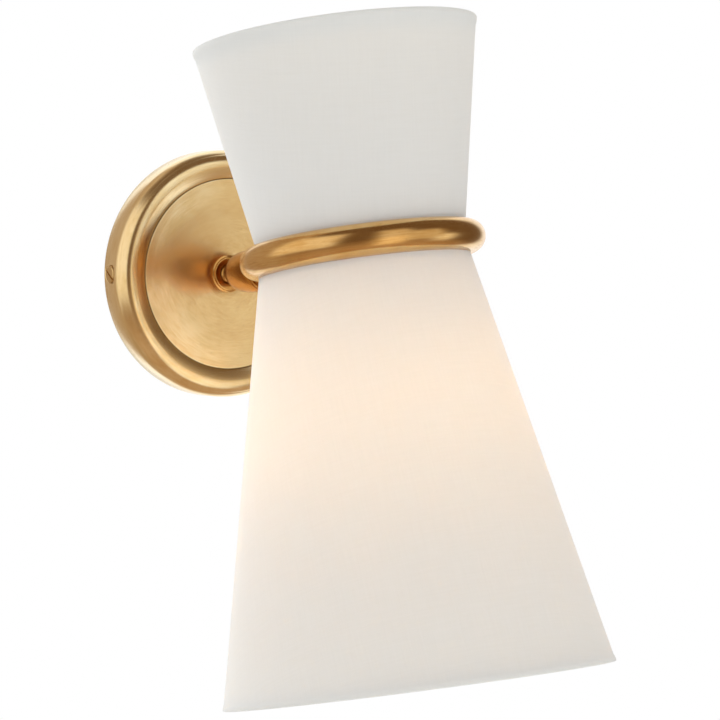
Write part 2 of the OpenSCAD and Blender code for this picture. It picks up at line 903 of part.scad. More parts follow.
// A shade's wall between two heights, with a rolled hem at its free rim
module shade(foot_r, foot_z, rim_r, rim_z, out) {
    roll = 0.35;
    hem = out * 3;
    slope = (rim_r - foot_r) / (rim_z - foot_z);
    rotate_extrude(convexity = 4)
        polygon([
            [foot_r - shade_t, foot_z],
            [foot_r, foot_z],
            [rim_r - slope * hem, rim_z - hem],
            [rim_r - slope * hem + roll, rim_z - hem + out * 0.4],
            [rim_r + roll, rim_z - out * 0.3],
            [rim_r, rim_z],
            [rim_r - shade_t, rim_z]]);
}

module upper_shade() {
    color(linen)
        on_head()
            shade(upper_foot_r, seat_z, upper_r, upper_h, 1);
}

module lower_shade() {
    color(linen)
        on_head()
            shade(lower_top_r, -seat_z, lower_r, -lower_h, -1);
}

module rim_wire(r, z) {
    translate([0, 0, z])
        rotate_extrude()
            translate([r, 0])
                circle(r = wire_r, $fn = 24);
}

module upper_rim_wire() {
    color(steel)
        on_head()
            rim_wire(upper_rim_r, upper_h - hem_drop);
}

module lower_rim_wire() {
    color(steel)
        on_head()
            rim_wire(lower_rim_r, -lower_h + hem_drop);
}

// Brass cap of the lamp holder, threaded on the lower nipple
module socket_cap() {
    color(brass)
        on_head()
            translate([0, 0, -cap_z])
                mirror([0, 0, 1])
                    difference() {
                        union() {
                            cylinder(h = 1, r1 = cap_r - 1, r2 = cap_r);
                            translate([0, 0, 1])
                                cylinder(h = cap_len - 1, r = cap_r);
                        }
                        translate([0, 0, cap_wall])
                            cylinder(h = cap_len, r = socket_r + 0.3);
                        translate([0, 0, -eps])
                            cylinder(h = cap_len, r = nipple_r + fit);
                    }
}

// Moulded body of the lamp holder
module socket_body() {
    color("#1f1d1b")
        on_head()
            translate([0, 0, -socket_z])
                mirror([0, 0, 1])
                    difference() {
                        cylinder(h = socket_len, r = socket_r);
                        translate([0, 0, floor_t])
                            cylinder(h = socket_len, r = shell_r + fit);
                        translate([0, 0, -eps])
                            cylinder(h = floor_t + 1, r = lead_bore_r);
                    }
}

// Screw shell that takes the lamp's base
module socket_shell() {
    color(brass)
        on_head()
            translate([0, 0, -socket_end + 1])
                difference() {
                    cylinder(h = socket_len - floor_t - 3, r = shell_r);
                    translate([0, 0, -eps])
                        cylinder(h = socket_len, r = shell_r - shell_wall);
                }
}

// Spring contact in the floor of the lamp holder
module socket_contact() {
    color(brass)
        on_head()
            translate([0, 0, -contact_z - contact_t])
                cylinder(h = contact_t, r = 3);
}

// Threaded metal base of the lamp
module lamp_base() {
    pitch = 2.6;
    turns = floor((base_len - 5) / pitch);
    color(steel)
        on_head()
            translate([0, 0, -glass_z])
                rotate_extrude()
                    polygon(concat(
                        [[0, 0]],
                        [[neck_glass_r, 0]],
                        [[neck_glass_r, 1.4]],
                        [for (i = [0:turns - 1], k = [0:3]) [base_r - 0.35 + 0.35 * cos(90 * k),
                            2.4 + pitch * (i + k / 4)]],
                        [[base_r - 0.4, base_len - 1.2]],
                        [[3, base_len]],
                        [[0, base_len]]));
}

// Solder tip under the base
module lamp_tip() {
    color("#a9acb0")
        on_head()
            translate([0, 0, -base_z])
                cylinder(h = tip_h, r1 = 2.8, r2 = 1.8);
}

// Torpedo outline of a lamp: a neck that swells to radius r and closes at length l
function glass_profile(r, l, neck) = [for (i = [0:14]) let (t = i / 14)
    [t == 1 ? 0 : neck * pow(1 - t, 2) + (t == 0 ? 0 : r * pow(sin(180 * pow(t, 0.62)), 0.8)), -l * t]];

// Frosted torpedo glass
module lamp_glass() {
    shell = glass_profile(glass_r - 2, glass_len, neck_glass_r - 0.3);
    hollow = glass_profile(glass_r - 2 - glass_wall, glass_len - glass_wall, neck_glass_r - 0.3 - glass_wall);
    color("#f7ecd2", 0.6)
        on_head()
            translate([0, 0, -glass_z])
                rotate_extrude()
                    polygon(concat(shell, [for (i = [14:-1:0]) hollow[i]]));
}

// Glass mount inside the lamp
module lamp_stem() {
    color("#dfe6e8")
        on_head()
            translate([0, 0, -glass_z - 20])
                union() {
                    cylinder(h = 20, r1 = 1.4, r2 = 3.4);
                    sphere(r = 1.6, $fn = 32);
                }
}

// Filament loop and its two support wires
module lamp_filament() {
    wire = 0.35;
    half = 7;
    drop = 34;
    color("#e0a050")
        on_head()
            translate([0, 0, -glass_z]) {
                for (s = [-1, 1])
                    lead([[s * 2.6, 0, -16], [s * 4.6, 0, -24], [s * half, 0, -drop]], wire, 6);
                translate([-half + wire, 0, -drop])
                    rotate([0, 90, 0])
                        cylinder(h = 2 * (half - wire), r = 0.9, $fn = 24);
            }
}

wall_bracket();
ground_screw();
ground_lead();
backplate();
side_screws();
hub_cup();
hub_locknut();
pressure_pad();
spring_washer();
tension_nut();
wire_connectors();
canopy_leads();
ball_liner();
ball_stud();
bell_cup();
spindle_nut();
stud_leads();
swivel_washer();
arm_collar();
arm_tube();
arm_leads();
ring_saddle();
cross_pipe();
waist_ring();
centre_body();
stay_rods();
upper_nipple();
lower_nipple();
upper_fitter();
lower_fitter();
divider();
cap_nut();
socket_nut();
upper_shade();
lower_shade();
upper_rim_wire();
lower_rim_wire();
socket_cap();
socket_body();
socket_shell();
socket_contact();
lamp_base();
lamp_tip();
lamp_glass();
lamp_stem();
lamp_filament();
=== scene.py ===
import math

import bmesh
import bpy
from mathutils import Matrix, Vector


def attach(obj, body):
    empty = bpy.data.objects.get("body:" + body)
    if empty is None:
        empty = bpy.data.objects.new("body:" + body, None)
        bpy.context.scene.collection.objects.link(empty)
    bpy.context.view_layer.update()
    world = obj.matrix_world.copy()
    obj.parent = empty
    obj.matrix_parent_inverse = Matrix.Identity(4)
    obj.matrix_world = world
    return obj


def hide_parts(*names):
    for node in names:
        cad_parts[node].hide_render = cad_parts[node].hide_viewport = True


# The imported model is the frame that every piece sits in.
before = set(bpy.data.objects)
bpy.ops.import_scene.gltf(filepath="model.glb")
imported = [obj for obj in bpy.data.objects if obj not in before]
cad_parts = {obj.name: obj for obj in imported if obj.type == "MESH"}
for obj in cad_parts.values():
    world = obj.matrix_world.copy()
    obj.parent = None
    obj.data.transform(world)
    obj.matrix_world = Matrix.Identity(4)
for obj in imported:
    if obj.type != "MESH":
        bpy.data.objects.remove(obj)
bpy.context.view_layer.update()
MM = 0.001

# Camera: it stands 1.8 m off, 30 degrees to the left of the wall's normal and almost level, with a
# long lens. The shift moves the light down in the frame, as in the picture.
azimuth, elevation = math.radians(-30), math.radians(2.59)
back = Vector((
    math.sin(azimuth) * math.cos(elevation),
    -math.cos(azimuth) * math.cos(elevation),
    math.sin(elevation)))
right = Vector((math.cos(azimuth), math.sin(azimuth), 0))
aim = (71.43 * right - 59.92 * back.cross(right)) * MM
camera = bpy.data.objects.new("camera", bpy.data.cameras.new("camera"))
sensor_mm, focal_px, frame_px, down_px = 36, 3719, 720, 35.25
camera.data.sensor_width = sensor_mm
camera.data.lens = sensor_mm * focal_px / frame_px
camera.data.shift_y = down_px / frame_px
camera.location = aim + 1828.98 * MM * back
camera.rotation_mode = "QUATERNION"
camera.rotation_quaternion = (-back).to_track_quat("-Z", "Y")
bpy.context.scene.collection.objects.link(camera)
bpy.context.scene.camera = camera
bpy.context.scene.view_settings.view_transform = "Standard"


# Room: a pale floor and a white surround, which the camera sees plain white. Cloth and paint get an
# even light from it, stronger from behind, as a pale wall throws it.
def colour(code):
    """An sRGB hex value as linear numbers."""
    parts = [int(code[i:i + 2], 16) / 255 for i in (1, 3, 5)]
    return (*[c / 12.92 if c <= 0.04045 else ((c + 0.055) / 1.055) ** 2.4 for c in parts], 1.0)


def node(tree, kind, inputs=None, stops=(), **settings):
    """Adds a node. An input takes a number, a node or one of its outputs; stops colour a ramp."""
    made = tree.nodes.new("ShaderNode" + kind)
    for name, value in settings.items():
        setattr(made, name, value)
    for i, (position, code) in enumerate(stops):
        made.color_ramp.elements[i].position = position
        made.color_ramp.elements[i].color = colour(code)
    for name, value in (inputs or {}).items():
        if isinstance(value, bpy.types.Node):
            value = value.outputs[0]
        if isinstance(value, bpy.types.NodeSocket):
            tree.links.new(value, made.inputs[name])
        else:
            made.inputs[name].default_value = value
    return made


world = bpy.data.worlds.new("studio")
bpy.context.scene.world = world
world.use_nodes = True
tree = world.node_tree
tree.nodes.clear()
towards = node(tree, "TexCoord").outputs["Generated"]
axes = node(tree, "SeparateXYZ", {0: towards}).outputs
behind = node(tree, "MapRange", {"Value": axes["Y"], "From Min": -1.0, "From Max": 1.0})
falloff, wall_light, room_light = 3.0, 2.1, 0.47
behind = node(tree, "Math", {0: behind, 1: falloff}, operation="POWER")
behind = node(tree, "Math", {0: behind, 1: wall_light, 2: room_light}, operation="MULTIPLY_ADD")
even = node(tree, "Background", {"Color": colour("#fdfeff"), "Strength": behind})
white = node(tree, "Background", {"Color": colour("#ffffff"), "Strength": 1.0})

# What brass mirrors: a dim brown room in front of the wall, the white surround behind it, and soft boxes
# with feathered edges to the left, in front and to the right. Each is (azimuth, half width, height,
# half height) in degrees, and its colour.
ahead = node(tree, "Math", {0: axes["Y"], 1: -1.0}, operation="MULTIPLY")
turn = node(tree, "Math", {0: axes["X"], 1: ahead}, operation="ARCTAN2")
turn = node(tree, "Math", {0: turn, 1: 180 / math.pi}, operation="MULTIPLY")
lift = node(tree, "Math", {0: axes["Z"]}, operation="ARCSINE")
lift = node(tree, "Math", {0: lift, 1: 180 / math.pi}, operation="MULTIPLY")
room = node(tree, "ValToRGB", {"Fac": node(tree, "MapRange", {
    "Value": lift, "From Min": -60.0, "From Max": 55.0})}, [(0.1, "#b0957a"), (0.5, "#6b553f")]).outputs[0]
feather = 16.0
mirrored_boxes = (
    (-180, 62, 10, 60, "#b7a188"),
    (180, 62, 6, 54, "#ffffff"),
    (-150, 34, -5, 55, "#aa9680"),
    (-88, 34, 15, 35, "#ece2d3"),
    (88, 26, 20, 50, "#6e5a46"),
    (2, 17, 10, 36, "#d8cab6"),
    (4, 15, -24, 24, "#f4dfbe"),
    (34, 19, 0, 26, "#cfc0a8"),
    (60, 9, -18, 16, "#ffffff"))
for azimuth_at, half_wide, lift_at, half_high, code in mirrored_boxes:
    reach = {}
    for name, at, half, value in (("wide", azimuth_at, half_wide, turn), ("high", lift_at, half_high, lift)):
        off = node(tree, "Math", {0: value, 1: float(at)}, operation="SUBTRACT")
        off = node(tree, "Math", {0: off}, operation="ABSOLUTE")
        reach[name] = node(tree, "MapRange", {
            "Value": off, "From Min": half - feather / 2, "From Max": half + feather / 2,
            "To Min": 1.0, "To Max": 0.0}, interpolation_type="SMOOTHSTEP")
    share = node(tree, "Math", {0: reach["wide"], 1: reach["high"]}, operation="MULTIPLY")
    room = node(tree, "MixRGB", {"Fac": share, "Color1": room, "Color2": colour(code)}).outputs[0]
mirrored = node(tree, "Background", {"Color": room, "Strength": 1.15})
rays = node(tree, "LightPath").outputs
seen = node(tree, "Math", {0: rays["Is Camera Ray"], 1: rays["Is Transmission Ray"]}, operation="MAXIMUM")
lit = node(tree, "MixShader", {0: rays["Is Glossy Ray"], 1: even, 2: mirrored})
node(tree, "OutputWorld", {"Surface": node(tree, "MixShader", {0: seen, 1: lit, 2: white})})


def material(name):
    """A new material and its empty tree."""
    made = bpy.data.materials.new(name)
    made.use_nodes = True
    made.node_tree.nodes.clear()
    return made, made.node_tree


# The floor's paint is lifted close to white for the camera only, so the shadow on it stays.
floor_paint, tree = material("pale floor paint")
lift_to_white = node(tree, "Math", {
    0: node(tree, "LightPath").outputs["Is Camera Ray"], 1: 0.16}, operation="MULTIPLY")
paint = node(tree, "BsdfPrincipled", {
    "Base Color": colour("#f4f4f2"), "Roughness": 0.8, "Emission Color": colour("#ffffff"),
    "Emission Strength": lift_to_white})
node(tree, "OutputMaterial", {"Surface": paint})
floor_width, floor_place = 5, Matrix.Translation((0, -0.5, -0.78))
bm = bmesh.new()
bmesh.ops.create_grid(bm, x_segments=1, y_segments=1, size=0.5)
bmesh.ops.scale(bm, vec=(floor_width, floor_width, 1), verts=bm.verts)
bmesh.ops.transform(bm, matrix=floor_place, verts=bm.verts)
mesh = bpy.data.meshes.new("floor")
bm.to_mesh(mesh)
bm.free()
mesh.materials.append(floor_paint)
floor = bpy.data.objects.new("floor", mesh)
bpy.context.scene.collection.objects.link(floor)
floor.visible_glossy = False

# Lamps: three soft boxes round the front light the linen. Brass mirrors their feathered likeness in the
# surround instead, without hard edges.
heart = Vector((0, -0.12, -0.03))
box_distance = 1.25


def soft_box(name, degrees, lift, width, height, radiance):
    """A soft box in metres, at an azimuth and a height in degrees, turned to face the light."""
    a, e = math.radians(degrees), math.radians(lift)
    away = Vector((math.sin(a) * math.cos(e), -math.cos(a) * math.cos(e), math.sin(e)))
    turn = away.to_track_quat("Z", "Y").to_matrix().to_4x4()
    lamp = bpy.data.lights.new(name, "AREA")
    lamp.shape = "RECTANGLE"
    lamp.size, lamp.size_y = width, height
    lamp.energy = radiance * math.pi * width * height
    lamp.color = (1, 1, 0.99)
    made = bpy.data.objects.new(name, lamp)
    made.matrix_world = Matrix.Translation(heart + box_distance * away) @ turn
    made.visible_camera = False
    made.visible_glossy = False
    bpy.context.scene.collection.objects.link(made)


soft_box("key soft box", -67, 4, 1.1, 1.5, 0.12)
soft_box("front soft box", -5, 2, 0.46, 1.2, 2.3)
soft_box("right soft box", 64, 2, 0.34, 0.8, 1.0)

# Frames: the plate's own axis runs out of the wall, the arm's runs from the ball along the arm, and
# the shade's runs up through the ring. All three meet as they do on the wall light at rest.
ball_out, arm_length, ring_radius = 11.5, 85.5, 49.4
arm_rise, arm_twist, head_tip = 3.3, 3.6, 5.3
spin, shift = Matrix.Rotation, Matrix.Translation
out_of_wall = spin(math.radians(90), 4, "X")
lift_arm = shift((0, -ball_out, 0)) @ spin(math.radians(-arm_rise), 4, "X")
lift_arm = lift_arm @ spin(math.radians(-arm_twist), 4, "Y")
along_arm = lift_arm @ out_of_wall
up_shade = lift_arm @ shift((0, -arm_length, 0)) @ spin(math.radians(-head_tip), 4, "X")
up_shade = up_shade @ shift((0, -ring_radius, 0))

# Wall bracket: a zinc-plated steel crossbar, punched flat with its two ears folded forward. It is the
# first piece screwed to the junction box.


def polar(x, y, r, start, stop, steps=8):
    """Points on an arc, in degrees, from start to stop."""
    return [(x + r * math.cos(math.radians(start + (stop - start) * i / steps)),
             y + r * math.sin(math.radians(start + (stop - start) * i / steps))) for i in range(steps + 1)]


def plain_metal(name, dark, light, roughness, grain_mm=3.0):
    """Plated or machined metal: two close tones and a slightly uneven gloss."""
    made, tree = material(name)
    where = node(tree, "TexCoord").outputs["Object"]
    cloud = node(tree, "TexNoise", {"Vector": where, "Scale": 1 / (grain_mm * MM), "Detail": 4.0})
    skin = node(tree, "ValToRGB", {"Fac": cloud}, [(0.3, dark), (0.7, light)])
    gloss = node(tree, "MapRange", {
        "Value": cloud, "From Min": 0.3, "From Max": 0.7,
        "To Min": roughness - 0.06, "To Max": roughness + 0.06})
    grain = node(tree, "TexNoise", {"Vector": where, "Scale": 1 / (0.6 * MM)})
    bump = node(tree, "Bump", {"Height": grain, "Distance": 0.006 * MM})
    metal = node(tree, "BsdfPrincipled", {
        "Base Color": skin, "Metallic": 1.0, "Roughness": gloss, "Normal": bump})
    node(tree, "OutputMaterial", {"Surface": metal})
    return made


def plain_plastic(name, dark, light, roughness, grain_mm=2.0):
    """Moulded plastic or a dull coat: nearly one tone, with a faint texture."""
    made, tree = material(name)
    where = node(tree, "TexCoord").outputs["Object"]
    cloud = node(tree, "TexNoise", {"Vector": where, "Scale": 1 / (grain_mm * MM), "Detail": 3.0})
    skin = node(tree, "ValToRGB", {"Fac": cloud}, [(0.3, dark), (0.7, light)])
    gloss = node(tree, "MapRange", {
        "Value": cloud, "From Min": 0.3, "From Max": 0.7,
        "To Min": roughness - 0.05, "To Max": roughness + 0.05})
    grain = node(tree, "TexNoise", {"Vector": where, "Scale": 1 / (0.4 * MM)})
    bump = node(tree, "Bump", {"Height": grain, "Distance": 0.008 * MM})
    plastic = node(tree, "BsdfPrincipled", {"Base Color": skin, "Roughness": gloss, "Normal": bump})
    node(tree, "OutputMaterial", {"Surface": plastic})
    return made


def dress(name, coat):
    """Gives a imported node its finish."""
    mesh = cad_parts[name].data
    mesh.materials.clear()
    mesh.materials.append(coat)


zinc = plain_metal("zinc plate", "#9fa3a8", "#c6c8ca", 0.34, 6.0)
dress("wall_bracket", zinc)

# Earth screw and lead: a green-dyed pan-head screw in the crossbar, and a green covered lead that
# loops under its head.
green_dye = plain_metal("green dyed steel", "#1f6a35", "#2f8a48", 0.4)
green_cover = plain_plastic("green lead cover", "#1f7a3a", "#2c8f48", 0.45)
dress("ground_screw", green_dye)
dress("ground_lead", green_cover)

# Hand-rubbed brass: brass darkened to an antique brown, then rubbed back by hand in circles. Rubbing
# leaves fine arcs, cloudy tone and a soft satin gloss. Bands at the given grooves are painted darker
# brown: brown patina kept there, together with painted shade in the groove. Real arcs lie under 0.2 mm
# apart; they are drawn coarser, at rub_mm, so that they show.


def rubbed_brass(name, dark, light, roughness, rub_mm, place, rub=1.0, grooves=()):
    """Brass rubbed about the axis of place, rub deep, and painted darker in grooves, (radius, width) in mm:
    patina with painted shade.
    """
    made, tree = material(name)
    where = node(tree, "Mapping", {
        "Vector": node(tree, "TexCoord").outputs["Object"], "Location": place.translation * MM,
        "Rotation": place.to_euler(), "Scale": (MM, MM, MM)}, vector_type="TEXTURE")
    axes = node(tree, "SeparateXYZ", {0: where}).outputs
    flat = node(tree, "CombineXYZ", {0: axes["X"], 1: axes["Y"]})
    radius = node(tree, "VectorMath", {0: flat}, operation="LENGTH").outputs["Value"]
    along = node(tree, "Math", {0: radius, 1: axes["Z"]}, operation="ADD")
    along = node(tree, "Math", {0: along, 1: 1 / rub_mm}, operation="MULTIPLY")
    round_axis = node(tree, "VectorMath", {0: flat}, operation="NORMALIZE")
    round_axis = node(tree, "VectorMath", {0: round_axis, "Scale": 6.0}, operation="SCALE")
    outward = node(tree, "CombineXYZ", {2: along})
    arcs = node(tree, "VectorMath", {0: round_axis, 1: outward}, operation="ADD")
    scratch = node(tree, "TexNoise", {"Vector": arcs, "Scale": 1.0, "Detail": 3.0, "Roughness": 0.65})
    cloud = node(tree, "TexNoise", {"Vector": where, "Scale": 1 / 16, "Detail": 3.0})
    tone = node(tree, "Math", {0: cloud, 1: scratch}, operation="ADD")
    tone = node(tree, "Math", {0: tone, 1: 0.5}, operation="MULTIPLY")
    skin = node(tree, "ValToRGB", {"Fac": tone}, [(0.38, dark), (0.6, light)])
    fleck = node(tree, "TexNoise", {"Vector": where, "Scale": 1 / 1.3, "Detail": 2.0})
    spots = node(tree, "MapRange", {
        "Value": fleck, "From Min": 0.72, "From Max": 0.78, "To Min": 0.0, "To Max": 0.35})
    skin = node(tree, "MixRGB", {"Fac": spots, "Color1": skin, "Color2": colour("#6b4a28")})
    # Each groove band is painted dark brown: its patina and the shade that falls in it, painted in.
    for centre, width in grooves:
        off = node(tree, "Math", {0: radius, 1: centre}, operation="SUBTRACT")
        off = node(tree, "Math", {0: off}, operation="ABSOLUTE")
        groove_shade_and_patina = node(tree, "MapRange", {"Value": off, "From Max": width, "To Min": 0.8, "To Max": 0.0})
        skin = node(tree, "MixRGB", {"Fac": groove_shade_and_patina, "Color1": skin, "Color2": colour("#5a3a1c")})
    gloss = node(tree, "MapRange", {
        "Value": tone, "From Min": 0.35, "From Max": 0.65,
        "To Min": roughness + 0.04, "To Max": roughness - 0.04})
    bump = node(tree, "Bump", {"Height": scratch, "Distance": 0.005 * rub * rub_mm * MM})
    metal = node(tree, "BsdfPrincipled", {
        "Base Color": skin, "Metallic": 1.0, "Roughness": gloss, "Normal": bump})
    node(tree, "OutputMaterial", {"Surface": metal})
    return made


# The plate gets one painted darker band, at the groove by the disc's edge: patina and painted shade.
satin_brass = rubbed_brass(
    "satin rubbed brass", "#f2d49c", "#fce6b8", 0.23, 0.7, out_of_wall, 1.0, [(46.45, 0.45)])

# Backplate: a disc of brass spun to a stepped dish. Its side wall curves in to a crisp line, its front
# is rounded and slopes in to a step, and a shallow dished disc lies round the ball joint's cup. The
# crest of its front stands 1.1 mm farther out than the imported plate's.


def turned(name, profile, place, steps=160, soften=0.15, closed=True, sharp=40, unroll=None):
    """Spins a profile of (radius, height) in mm about the axis of place and softens its corners."""
    bm = bmesh.new()
    chain = [bm.verts.new((r, 0, z)) for r, z in profile]
    ends = chain[1:] + chain[:1] if closed else chain[1:]
    edges = [bm.edges.new(pair) for pair in zip(chain, ends)]
    bmesh.ops.spin(bm, geom=chain + edges, cent=(0, 0, 0), axis=(0, 0, 1), angle=math.tau, steps=steps,
                   use_merge=True)
    bmesh.ops.remove_doubles(bm, verts=bm.verts, dist=1e-5)
    bmesh.ops.dissolve_degenerate(bm, dist=1e-5, edges=bm.edges)
    bmesh.ops.recalc_face_normals(bm, faces=bm.faces)
    if soften:
        corners = [e for e in bm.edges if len(e.link_faces) == 2 and e.calc_face_angle() > math.radians(28)]
        bmesh.ops.bevel(bm, geom=corners, offset=soften, offset_type="OFFSET", segments=2, profile=0.5,
                        affect="EDGES", clamp_overlap=True, material=-1)
    if unroll:
        unroll(bm)
    return finish(name, bm, place, sharp)


def finish(name, bm, place, sharp=40):
    """Turns a bmesh in mm into an object in place, in metres, smooth but for its sharp edges."""
    for face in bm.faces:
        face.smooth = True
    for edge in bm.edges:
        edge.smooth = len(edge.link_faces) == 2 and edge.calc_face_angle() < math.radians(sharp)
    bmesh.ops.transform(bm, matrix=Matrix.Scale(MM, 4) @ place, verts=bm.verts)
    mesh = bpy.data.meshes.new(name)
    bm.to_mesh(mesh)
    bm.free()
    made = bpy.data.objects.new(name, mesh)
    bpy.context.scene.collection.objects.link(made)
    return made


def fit(made, coats, body, cad):
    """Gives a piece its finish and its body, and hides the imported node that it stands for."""
    for one in coats if isinstance(coats, list) else [coats]:
        made.data.materials.append(one)
    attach(made, body)
    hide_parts(cad)


def dish(inner, outer, low, high, count=10):
    """Points of a smooth dip, from its rim at outer down to inner."""
    return [(outer + (inner - outer) * i / count,
             low + (high - low) * (1 + math.cos(math.pi * i / count)) / 2) for i in range(count + 1)]


plate_radius, plate_wall, side_height = 60.3, 1.2, 10.2
side_in, side_rise, hub_height, disc_height = 1.9, 5.2, 14.6, 16.1
front = [(plate_radius, 0.0)]
front += [(plate_radius - side_in * (i / 10) ** 2, side_height + side_rise * i / 10) for i in range(11)]
front += [(58.3, 15.5)] + polar(53.4, 13.26, 5.34, 26, 107, 18)
front += [(50.2, 17.8), (48.4, 17.08), (47.1, 16.45), (46.7, 16.15), (46.5, 15.95), (46.35, 16.15)]
front += [(46.15, 16.3), (45.6, 16.28)]
front += dish(12.7, 44, hub_height, disc_height, 16)
front += [(8.0, hub_height)]
rear = [(8.0, 13.4)]
rear += [(r, y - plate_wall) for r, y in reversed(dish(12.7, 44, hub_height, disc_height))]
rear += [(45.4, 15.1), (47.1, 15.2), (50.0, 16.0), (53.6, 17.2), (55.4, 17.3), (57.0, 16.4), (58.0, 14.6)]
rear += [(59.1, 10.4), (59.1, 0.0)]
plate = turned("backplate_spun", front + rear, out_of_wall, steps=224, soften=0.12)


def cut(made, cutter):
    """Takes the cutter's shape out of a piece."""
    carve = made.modifiers.new("cut", "BOOLEAN")
    carve.operation, carve.solver, carve.object = "DIFFERENCE", "EXACT", cutter
    bpy.context.view_layer.update()
    carved = bpy.data.meshes.new_from_object(made.evaluated_get(bpy.context.evaluated_depsgraph_get()))
    made.modifiers.clear()
    made.data = carved
    bpy.data.objects.remove(cutter)


screw_out = 6
screw_axes = [shift((0, -screw_out, 0)) @ spin(math.radians(90 * side), 4, "Y") for side in (-1, 1)]
seat_shape = [(0, 40), (2.1, 40), (2.1, 59.2), (4.3, 59.2), (4.3, 70), (0, 70)]
for seat in screw_axes:
    cut(plate, turned("seat cutter", seat_shape, seat, 64, 0, False))
fit(plate, satin_brass, "wall_unit", "backplate")

# Side screws: slotted brass screws with low heads, sunk in the plate's side wall and threaded into the
# bracket's ears. Their slots stand a little off upright.
screw_brass = rubbed_brass("screw brass", "#cfab6f", "#e2c48f", 0.3, 0.7, out_of_wall)
head_shape = [(0, 54.4), (2.0, 54.4), (2.0, 59.25), (4.15, 59.25), (4.15, 60.35), (3.7, 60.72)]
head_shape += [(2.0, 60.82), (0, 60.85)]
slot_height, slot_turn = 60.75, 35
heads = bmesh.new()
for side, seat in zip((-1, 1), screw_axes):
    head = turned("screw head", head_shape, seat, 64, 0.12, False)
    slot_bm = bmesh.new()
    bmesh.ops.create_cube(slot_bm, size=1)
    bmesh.ops.scale(slot_bm, vec=(12, 0.95, 1.6), verts=slot_bm.verts)
    slot_place = seat @ shift((0, 0, slot_height)) @ spin(math.radians(90 + slot_turn * side), 4, "Z")
    cut(head, finish("slot cutter", slot_bm, slot_place))
    heads.from_mesh(head.data)
    bpy.data.objects.remove(head)
side_screws = finish("side_screws_turned", heads, Matrix.Scale(1 / MM, 4), 30)
fit(side_screws, screw_brass, "wall_unit", "side_screws")

# Ball joint cup: turned brass with a rounded lip that stands out of the disc over a thin flange. The
# rest of it, its ring nut, nylon pad, spring washer and threaded ring, is held behind the disc.
bright_brass = rubbed_brass("bright rubbed brass", "#cf9850", "#e2b472", 0.2, 0.7, along_arm)
lip = [(7.9, 14.6), (9.0, 14.6), (9.0, 14.9), (8.35, 15.05)] + polar(7.62, 15.32, 0.78, -20, 90, 8)
lip += [(6.4, 16.1)] + polar(5.75, 15.65, 0.45, 90, 180, 4)
seat_radius = 6.95
ball_seat = [(seat_radius * math.sin(math.radians(a)), ball_out + seat_radius * math.cos(math.radians(a)))
             for a in range(52, 91, 4)]
bore = [(seat_radius, 1.9), (7.9, 1.9)]
cup = turned("ball_cup_turned", lip + ball_seat + bore, out_of_wall, 96, 0.08)
fit(cup, bright_brass, "wall_unit", "hub_cup")
turned_brass = plain_metal("turned brass", "#b98d4b", "#d3aa66", 0.3, 5.0)
nylon = plain_plastic("natural nylon", "#d8d4c4", "#e6e2d6", 0.42)
dress("hub_locknut", turned_brass)
dress("tension_nut", turned_brass)
dress("spring_washer", zinc)
dress("pressure_pad", nylon)
dress("ball_liner", nylon)

# Wiring behind the plate: black and white covered leads run from the ball up to three twist-on
# connectors, two white and one orange, each a fluted cone with a softened rim.


def two_tone_plastic(name, split, left, right, smooth):
    """Plastic of one tone left of x = split, in mm, and of another right of it."""
    made, tree = material(name)
    where = node(tree, "TexCoord").outputs["Object"]
    across = node(tree, "SeparateXYZ", {0: where}).outputs["X"]
    on_right = node(tree, "Math", {0: across, 1: split * MM}, operation="GREATER_THAN")
    tone = node(tree, "MixRGB", {"Fac": on_right, "Color1": colour(left), "Color2": colour(right)})
    cloud = node(tree, "TexNoise", {"Vector": where, "Scale": 1 / (1.5 * MM)})
    gloss = node(tree, "MapRange", {"Value": cloud, "To Min": smooth, "To Max": 0.55})
    plastic = node(tree, "BsdfPrincipled", {"Base Color": tone, "Roughness": gloss})
    node(tree, "OutputMaterial", {"Surface": plastic})
    return made


lead_cover = two_tone_plastic("lead cover", 0, "#262524", "#e4e1d8", 0.35)
for name in ("canopy_leads", "stud_leads", "arm_leads"):
    dress(name, lead_cover)
connector_plastic = two_tone_plastic("moulded connector plastic", 11, "#ecebe6", "#d9822b", 0.38)
connector_shape = [(1.35, 33), (5.2, 33), (5.2, 36), (4.75, 37), (3.4, 50), (0, 50), (0, 42), (1.35, 42)]
flutes, flute_depth, connector_out = 18, 0.9, 8
connectors = bmesh.new()
for x in (-22, 0, 22):
    shell = turned("connector", connector_shape, Matrix.Identity(4), 2 * flutes, 0, False)
    bm = bmesh.new()
    bm.from_mesh(shell.data)
    bpy.data.objects.remove(shell)
    for v in bm.verts:
        r = math.hypot(v.co.x, v.co.y)
        turns = math.atan2(v.co.y, v.co.x) / math.tau * flutes
        if r > 0.003 and v.co.z > 0.0365 and abs(turns - round(turns)) > 0.25:
            v.co.x *= flute_depth
            v.co.y *= flute_depth
    bmesh.ops.translate(bm, vec=(x * MM, -connector_out * MM, 0), verts=bm.verts)
    moved = bpy.data.meshes.new("connector")
    bm.to_mesh(moved)
    bm.free()
    connectors.from_mesh(moved)
twist_connectors = finish("twist_connectors", connectors, Matrix.Scale(1 / MM, 4), 30)
fit(twist_connectors, connector_plastic, "wall_unit", "wire_connectors")

# Ball and neck: turned from one brass bar, bored for the leads. The ball turns in the cup, and the
# spindle behind the neck carries the bell and the collar.
ball_radius = 6
ball = [(1.9, -5.69)]
ball += [(ball_radius * math.cos(math.radians(a)), ball_radius * math.sin(math.radians(a)))
         for a in range(-68, 61, 4)]
ball += [(3.0, 5.35), (3.0, 13.3), (3.6, 13.3), (3.6, 55.1), (1.9, 55.1)]
fit(turned("ball_and_neck", ball, along_arm, 96, 0.1), bright_brass, "stud", "ball_stud")

